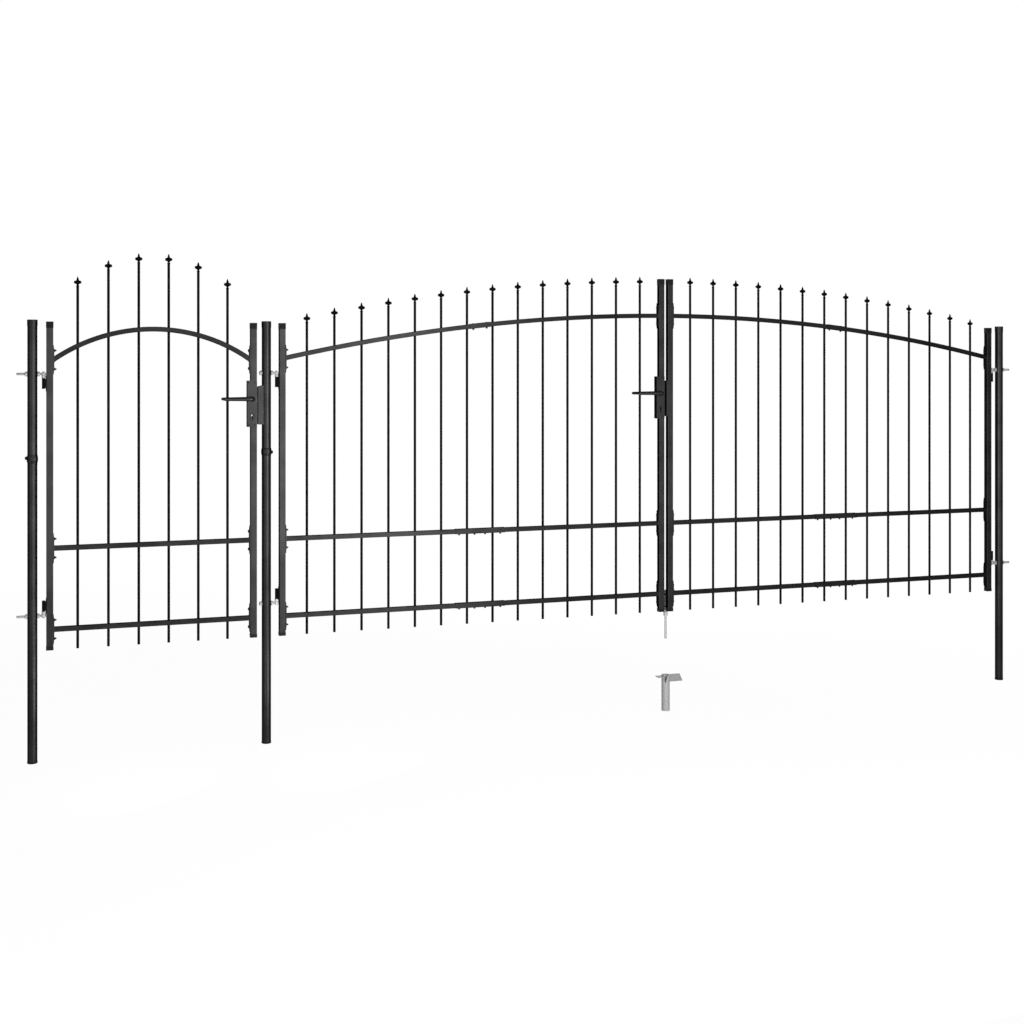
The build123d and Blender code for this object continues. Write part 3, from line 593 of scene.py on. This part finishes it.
# Along the grip, out from the rosette, half height, half thickness, turn of the section in degrees.
LEVER_PATH = (
    (0.0, 0.0002, 0.0100, 0.0100, 0), (0.0, 0.0018, 0.0098, 0.0098, 0),
    (0.0, 0.0032, 0.0078, 0.0078, 0), (0.0, 0.0070, 0.0075, 0.0072, 0),
    (0.0, 0.0150, 0.0077, 0.0070, 0), (-0.0008, 0.0192, 0.0082, 0.0067, 22),
    (-0.0030, 0.0226, 0.0085, 0.0063, 45), (-0.0066, 0.0248, 0.0086, 0.0058, 68),
    (-0.0115, 0.0254, 0.0086, 0.0051, 90), (-0.0240, 0.0254, 0.0086, 0.0049, 90),
    (-0.0500, 0.0254, 0.0082, 0.0047, 90), (-0.0900, 0.0253, 0.0076, 0.0044, 90),
    (-0.1200, 0.0252, 0.0071, 0.0041, 90), (-0.1280, 0.0251, 0.0067, 0.0038, 90),
    (-0.1315, 0.0250, 0.0056, 0.0032, 90), (-0.1333, 0.0250, 0.0036, 0.0021, 90),
    (-0.1339, 0.0250, 0.0015, 0.0009, 90),
)
GRIP_POWER = 0.85

# Each lock's name, the body it is on, its levers' body, its stile's place and its levers' height.
LOCKS = (
    ("wicket", "wicket", "wicket_lever", -0.060, 1.591),
    ("left", "left_leaf", "left_lever", 2.002, 1.600),
)
SPINDLE_OFFSET = 0.007
KEYHOLE_DROP = 0.075
CASE_FACE = 0.0155
ROSETTE_FACE = 0.0185
CASE_SCREWS_X = (-0.022, 0.004)
CASE_SCREW_EDGE = 0.009
CASE_SCREW = (0.0038, 0.0016)
CASE_SCREW_SINK = 0.0002
KEYHOLE_RIM = (0.0095, 0.0165)
KEYHOLE_RIM_DROP = 0.0065
KEYHOLE_RIM_POWER = 0.8
ROSETTE_RIM = 0.0118
RIM_BEAD = 0.0010

# The face plate's half width and what it leaves of the case's ends; then, for it and for the
# bolts that show in it, rows of how far out from the stile and how far in from their outline.
FACE_PLATE_HALF = 0.0095
FACE_PLATE_END = 0.002
FACE_PLATE_ROWS = ((-0.0002, 0.0), (0.0010, 0.0), (0.0014, 0.0006))
FACE_PLATE_POWER = 0.3
BOLT_ROWS = ((0.0012, 0.0), (0.0026, 0.0), (0.0030, 0.0005))
BOLT_HALF_WIDTH = 0.0055
BOLT_POWER = 0.25
LATCH_DROP = 0.004
LATCH_HALF_HEIGHT = 0.010
DEAD_BOLT_HALF_HEIGHT = 0.014
FACE_SCREW_EDGE = 0.012
FACE_SCREW_BASE = 0.0012
FACE_SCREW = (0.0042, 0.0012)


def make_levers(name, body, spindle):
    """Both levers of a lock: a neck that turns in one bend into the grip."""
    shape = bmesh.new()
    for side in (-1, 1):
        rows = []
        for along, out, tall, thick, turn in LEVER_PATH:
            centre = spindle + Vector((along, side * (ROSETTE_FACE + out), 0))
            across = Vector((cos(radians(turn)), side * sin(radians(turn)), 0))
            rows.append(ring(centre, across * thick, Z_AXIS * tall, count=20, power=GRIP_POWER))
        loft(shape, rows)
    finish_piece(f"{name}_lever_pair", shape, HANDLE_BLACK, body, "handle_black", f"{name}_levers")


def make_lock_trim(name, body, stile_x, lever_height):
    """Screws, keyhole rims and rosette rims on both faces, and the face plate with its bolts."""
    shape = bmesh.new()
    low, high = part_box(f"{name}_lock_case")
    spindle_x = stile_x - SPINDLE_OFFSET
    for side in (-1, 1):
        out = Y_AXIS * side
        for shift in CASE_SCREWS_X:
            for z in (low.z + CASE_SCREW_EDGE, high.z - CASE_SCREW_EDGE):
                base = Vector((stile_x + shift, side * (CASE_FACE - CASE_SCREW_SINK), z))
                dome(shape, base, out, *CASE_SCREW)
        keyhole = Vector((spindle_x, side * CASE_FACE, lever_height - KEYHOLE_DROP - KEYHOLE_RIM_DROP))
        half_width, half_height = KEYHOLE_RIM
        rim = ring(keyhole, X_AXIS * half_width, Z_AXIS * half_height, count=36, power=KEYHOLE_RIM_POWER)
        weld_bead(shape, rim, RIM_BEAD, out, closed=True)
        rosette = Vector((spindle_x, side * ROSETTE_FACE, lever_height))
        rim = ring(rosette, X_AXIS * ROSETTE_RIM, Z_AXIS * ROSETTE_RIM, count=36)
        weld_bead(shape, rim, RIM_BEAD, out, closed=True)
    finish_piece(f"{name}_lock_trim", shape, BLACK_COAT, body, "black_coat")

    shape = bmesh.new()
    face_x = stile_x + STILE_HALF
    middle = Vector((face_x, 0, (low.z + high.z) / 2))
    half = (high.z - low.z) / 2 - FACE_PLATE_END
    rows = []
    for out, edge in FACE_PLATE_ROWS:
        across, up = Y_AXIS * (FACE_PLATE_HALF - edge), Z_AXIS * (half - edge)
        rows.append(ring(middle + X_AXIS * out, across, up, count=40, power=FACE_PLATE_POWER))
    loft(shape, rows)
    bolts = (
        (lever_height - LATCH_DROP, LATCH_HALF_HEIGHT),
        (lever_height - KEYHOLE_DROP, DEAD_BOLT_HALF_HEIGHT),
    )
    for z, tall in bolts:
        centre = Vector((face_x, 0, z))
        rows = []
        for out, edge in BOLT_ROWS:
            across, up = Y_AXIS * (BOLT_HALF_WIDTH - edge), Z_AXIS * (tall - edge)
            rows.append(ring(centre + X_AXIS * out, across, up, count=16, power=BOLT_POWER))
        loft(shape, rows)
    for z in (low.z + FACE_SCREW_EDGE, high.z - FACE_SCREW_EDGE):
        dome(shape, Vector((face_x + FACE_SCREW_BASE, 0, z)), X_AXIS, *FACE_SCREW)
    finish_piece(f"{name}_lock_face_plate", shape, ZINC, body, "galvanised_steel")


# Welds

RAIL_WELD_HALF = 0.0115
RAIL_WELD_POWER = 0.35
RAIL_WELD_RADIUS = 0.0016

# The wicket's arch meets its flanges at a slant, which stretches its beads and lifts them.
TOP_FLANGE_DEPTH = 0.01
ARCH_WELD_STRETCH = 1.25
ARCH_WELD_RISE = 0.0026

# The seams of the hinge brackets: half the distance between both, what they leave of the
# bracket's ends, their radius, and how far in they lie from the plate or the barrel.
PLATE_SEAM_HALF = 0.0100
PLATE_SEAM_END = 0.003
PLATE_SEAM_RADIUS = 0.0013
PLATE_SEAM_INSET = 0.0006
LUG_SEAM_HALF = 0.0040
LUG_SEAM_END = 0.016
LUG_SEAM_RADIUS = 0.0012
LUG_SEAM_INSET = 0.0142

GUIDE_SEAM_LIFT = 0.0008
GUIDE_SEAM_END = 0.001
GUIDE_SEAM_RADIUS = 0.0013


def make_leaf_welds(leaf, body, hinge_side):
    """Beads where the rails meet their flanges and where the hinge brackets sit on the stile."""
    shape = bmesh.new()
    low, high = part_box(f"{leaf}_rail_flanges")
    middle = (low.x + high.x) / 2
    flanges = solids_of(f"{leaf}_rail_flanges")
    top = max(high.z for _, high in flanges)
    for low, high in flanges:
        slanting = leaf == "wicket" and high.z > top - TOP_FLANGE_DEPTH
        stretch, rise = (ARCH_WELD_STRETCH, ARCH_WELD_RISE) if slanting else (1.0, 0)
        centre = Vector((high.x if high.x < middle else low.x, 0, (low.z + high.z) / 2 + rise))
        across, up = Y_AXIS * RAIL_WELD_HALF, Z_AXIS * (RAIL_WELD_HALF * stretch)
        bead = ring(centre, across, up, count=36, power=RAIL_WELD_POWER)
        weld_bead(shape, bead, RAIL_WELD_RADIUS, X_AXIS, closed=True)
    for low, high in solids_of(f"{leaf}_hinge_brackets"):
        face = high.x if hinge_side > 0 else low.x
        barrel = low.x if hinge_side > 0 else high.x
        seams = (
            (face - hinge_side * PLATE_SEAM_INSET, PLATE_SEAM_HALF, PLATE_SEAM_END, PLATE_SEAM_RADIUS),
            (barrel + hinge_side * LUG_SEAM_INSET, LUG_SEAM_HALF, LUG_SEAM_END, LUG_SEAM_RADIUS),
        )
        for side in (-1, 1):
            for x, half, end, radius in seams:
                seam = [Vector((x, side * half, z)) for z in (low.z + end, high.z - end)]
                weld_bead(shape, steps(*seam), radius, Y_AXIS)
    finish_piece(f"{leaf}_weld_beads", shape, BLACK_COAT, body, "black_coat")


def make_guide_welds():
    """Weld beads where the drop bolt's guides sit on the meeting stile."""
    shape = bmesh.new()
    for low, high in solids_of("drop_bolt_brackets"):
        for z in (low.z, high.z):
            ends = (low.x + GUIDE_SEAM_END, high.x - GUIDE_SEAM_END)
            seam = [Vector((x, STILE_HALF + GUIDE_SEAM_LIFT, z)) for x in ends]
            weld_bead(shape, steps(*seam), GUIDE_SEAM_RADIUS, Z_AXIS)
    finish_piece("drop_bolt_welds", shape, BLACK_COAT, "right_leaf", "black_coat")


# Post joints and post feet

POST_JOINT_BAND = (
    (0.0211, -0.0180), (0.0220, -0.0160), (0.0233, -0.0110), (0.0240, -0.0050), (0.0241, 0.0),
    (0.0240, 0.0050), (0.0233, 0.0110), (0.0220, 0.0160), (0.0211, 0.0180),
)
JOINT_SCREW_SEAT = 0.0232
JOINT_DISC = ((0.0086, 0.0), (0.0086, 0.0012), (0.0080, 0.0016))
JOINT_HEAD_BASE = 0.0014
JOINT_HEAD_FLATS = 0.013
JOINT_CROWN_SINK = 0.0002
JOINT_CROWN = (0.0054, 0.0012)
FOOT_RIM = (
    (0.0206, 0.0003), (0.0216, 0.0007), (0.0224, 0.0020), (0.0226, 0.0040), (0.0224, 0.0075),
    (0.0213, 0.0086),
)

# Each joint's post and height, and its screws: turn in degrees from +X, rise and head's height.
LEFT_JOINT_SCREWS = ((180, 0.0036, 0.0062), (238, -0.0130, 0.0016), (285, 0.0, 0.0010))
MIDDLE_JOINT_SCREWS = ((0, -0.0030, 0.0050), (262, 0.0, 0.0012))
POST_JOINTS = (
    ("left_post_joint", POSTS_X[0], 1.337, LEFT_JOINT_SCREWS),
    ("middle_post_joint", POSTS_X[1], 1.3475, MIDDLE_JOINT_SCREWS),
)


def make_post_joint(name, post_x, height, screws):
    """The swelling where a post's two lengths meet, with the screws that hold them."""
    shape = bmesh.new()
    foot = Vector((post_x, 0, height))
    lathe(shape, foot, Z_AXIS, POST_JOINT_BAND, count=48)
    for turn, rise, proud in screws:
        axis = Vector((cos(radians(turn)), sin(radians(turn)), 0))
        base = foot + axis * JOINT_SCREW_SEAT + Z_AXIS * rise
        lathe(shape, base, axis, JOINT_DISC)
        hexagon(shape, base + axis * JOINT_HEAD_BASE, axis, JOINT_HEAD_FLATS, proud)
        dome(shape, base + axis * (JOINT_HEAD_BASE - JOINT_CROWN_SINK + proud), axis, *JOINT_CROWN)
    finish_piece(name, shape, BLACK_COAT, "posts", "black_coat")


def make_post_feet():
    """The plastic plugs that show as a dark rim round the foot of each post."""
    shape = bmesh.new()
    for post_x in POSTS_X:
        lathe(shape, Vector((post_x, 0, 0)), Z_AXIS, FOOT_RIM, count=48)
    finish_piece("post_foot_rims", shape, CAP_PLASTIC, "posts", "cap_plastic")


# Keepers

KEEPER_WALL = 0.003
KEEPER_EDGE = 0.0006
KEEPER_WEB_END = 0.001
KEEPER_SEAM_SHARES = (0.06, 0.38, 0.70)
KEEPER_SEAM_LENGTH = 0.045
KEEPER_SEAM_RADIUS = 0.0015

# Each keeper's name and body, the places along X of its web and of its seams, how far its top
# falls towards the lock, and how far to each side its seams lie.
RIGHT_STILE_FACE = RIGHT_MEETING_STILE_X - STILE_HALF
KEEPERS = (
    ("wicket_keeper", "posts", -0.0213, -0.0146, 0.006, 0.0158),
    ("right_keeper", "right_leaf", RIGHT_STILE_FACE, RIGHT_STILE_FACE, 0.0, 0.0142),
)


def slab(shape, corners, thickness):
    """A plate from the corners of its face, with its edges broken."""
    first, second, third = corners[:3]
    normal = (second - first).cross(third - second).normalized()
    middle = sum(corners, Vector()) / len(corners)
    edge = KEEPER_EDGE
    rows = []
    for depth, inset in ((0.0, edge), (edge, 0.0), (thickness - edge, 0.0), (thickness, edge)):
        rows.append([point + (middle - point).normalized() * inset + normal * depth for point in corners])
    loft(shape, rows)


def make_keeper(name, body, web_x, seam_x, top_slope, seam_y):
    """A folded keeper, open towards the lock: two cheeks and a web, stitched to what carries them."""
    low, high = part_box(name)
    shape = bmesh.new()
    outline = ((low.x, low.z), (high.x, low.z), (high.x, high.z), (low.x, high.z - top_slope))
    slab(shape, [Vector((x, low.y, z)) for x, z in reversed(outline)], KEEPER_WALL)
    slab(shape, [Vector((x, high.y, z)) for x, z in outline], KEEPER_WALL)
    reach = high.y - KEEPER_WALL / 2
    bottom, top = low.z + KEEPER_WEB_END, high.z - KEEPER_WEB_END
    web = ((-reach, bottom), (-reach, top), (reach, top), (reach, bottom))
    slab(shape, [Vector((web_x, y, z)) for y, z in web], KEEPER_WALL)
    for side in (-1, 1):
        for share in KEEPER_SEAM_SHARES:
            start = low.z + (high.z - low.z) * share
            seam = [Vector((seam_x, side * seam_y, start + rise)) for rise in (0, KEEPER_SEAM_LENGTH)]
            weld_bead(shape, steps(*seam), KEEPER_SEAM_RADIUS, Y_AXIS)
    finish_piece(f"{name}_folded", shape, BLACK_COAT, body, "black_coat", name)


for leaf_name, leaf_body, hinged_side in LEAVES:
    make_spear_heads(leaf_name, leaf_body)
    make_flange_bolts(leaf_name, leaf_body, hinged_side)
    make_leaf_welds(leaf_name, leaf_body, hinged_side)
make_splice_screws("left", "left_leaf")
make_splice_screws("right", "right_leaf")
make_eye_bolts()
for lock_name, lock_body, lever_body, lock_stile_x, lock_height in LOCKS:
    make_levers(lock_name, lever_body, Vector((lock_stile_x - SPINDLE_OFFSET, 0, lock_height)))
    make_lock_trim(lock_name, lock_body, lock_stile_x, lock_height)
for post_joint in POST_JOINTS:
    make_post_joint(*post_joint)
for keeper in KEEPERS:
    make_keeper(*keeper)
make_post_feet()
make_guide_welds()


# Stage


def make_floor():
    """A white floor that keeps a faint shadow and glows evenly for the rays of the background."""
    ground = cad_box[0].z - FLOOR_DROP
    data = bpy.data.meshes.new("floor")
    signs = ((-1, -1), (1, -1), (1, 1), (-1, 1))
    corners = [(x * FLOOR_HALF, y * FLOOR_HALF, ground) for x, y in signs]
    data.from_pydata(corners, [], [(0, 1, 2, 3)])
    floor = bpy.data.objects.new("floor", data)
    bpy.context.scene.collection.objects.link(floor)
    material, shader = new_material("floor_white")
    tree = material.node_tree
    shader.inputs["Base Color"].default_value = FLOOR_COLOUR
    shader.inputs["Roughness"].default_value = FLOOR_ROUGHNESS
    glow = tree.nodes.new("ShaderNodeEmission")
    place = tree.nodes.new("ShaderNodeTexCoord")
    distance = tree.nodes.new("ShaderNodeVectorMath")
    distance.operation = "LENGTH"
    tree.links.new(place.outputs["Object"], distance.inputs[0])
    fade = tree.nodes.new("ShaderNodeMapRange")
    fade.inputs["From Min"].default_value = FLOOR_FADE[0]
    fade.inputs["From Max"].default_value = FLOOR_FADE[1]
    fade.inputs["To Min"].default_value = 1.0
    fade.inputs["To Max"].default_value = 1.0 / FLOOR_GLOW_SHARE
    tree.links.new(distance.outputs["Value"], fade.inputs["Value"])
    tree.links.new(fade.outputs["Result"], glow.inputs["Strength"])
    shadow_share = tree.nodes.new("ShaderNodeMixShader")
    shadow_share.inputs["Fac"].default_value = FLOOR_GLOW_SHARE
    tree.links.new(shader.outputs["BSDF"], shadow_share.inputs[1])
    tree.links.new(glow.outputs["Emission"], shadow_share.inputs[2])
    seen = tree.nodes.new("ShaderNodeMixShader")
    tree.links.new(background_rays(tree), seen.inputs["Fac"])
    tree.links.new(shader.outputs["BSDF"], seen.inputs[1])
    tree.links.new(shadow_share.outputs["Shader"], seen.inputs[2])
    tree.links.new(seen.outputs["Shader"], tree.nodes["Material Output"].inputs["Surface"])
    data.materials.append(material)


def background_rays(tree):
    """One for rays that show the background: camera, glossy and transmission rays."""
    rays = tree.nodes.new("ShaderNodeLightPath")
    total = rays.outputs["Is Camera Ray"]
    for kind in ("Is Glossy Ray", "Is Transmission Ray"):
        larger = tree.nodes.new("ShaderNodeMath")
        larger.operation = "MAXIMUM"
        tree.links.new(total, larger.inputs[0])
        tree.links.new(rays.outputs[kind], larger.inputs[1])
        total = larger.outputs["Value"]
    return total


def make_world(ambient):
    """White to the camera and in reflections, and a low even light on everything."""
    world = bpy.data.worlds.new("studio")
    bpy.context.scene.world = world
    world.use_nodes = True
    tree = world.node_tree
    sky = tree.nodes["Background"]
    sky.inputs["Color"].default_value = WHITE
    strength = tree.nodes.new("ShaderNodeMapRange")
    strength.inputs["To Min"].default_value = ambient
    strength.inputs["To Max"].default_value = 1.0
    tree.links.new(background_rays(tree), strength.inputs["Value"])
    tree.links.new(strength.outputs["Result"], sky.inputs["Strength"])


def make_soft_box(name, place, target, size, power):
    """A rectangular lamp that looks at a target."""
    data = bpy.data.lights.new(name, "AREA")
    data.shape = "RECTANGLE"
    data.size, data.size_y = size
    data.energy = power
    lamp = bpy.data.objects.new(name, data)
    lamp.location = place
    aim = Vector(target) - Vector(place)
    lamp.rotation_euler = aim.to_track_quat("-Z", "Y").to_euler()
    bpy.context.scene.collection.objects.link(lamp)


def make_camera():
    """The picture's camera: level, turned to the right, with its frame shifted down."""
    data = bpy.data.cameras.new("camera")
    data.sensor_width = SENSOR_MM
    data.lens = FOCAL_PIXELS / PICTURE_SIZE * SENSOR_MM
    data.shift_y = -(PICTURE_SIZE / 2 - HORIZON_PIXEL) / PICTURE_SIZE
    data.clip_end = CAMERA_SIGHT
    camera = bpy.data.objects.new("camera", data)
    camera.location = CAMERA_PLACE
    camera.rotation_euler = (pi / 2, 0, -radians(CAMERA_YAW_DEG))
    bpy.context.scene.collection.objects.link(camera)
    bpy.context.scene.camera = camera


bpy.context.scene.view_settings.view_transform = "Standard"
make_floor()
make_world(AMBIENT)
make_camera()
for lamp in LAMPS:
    make_soft_box(*lamp)
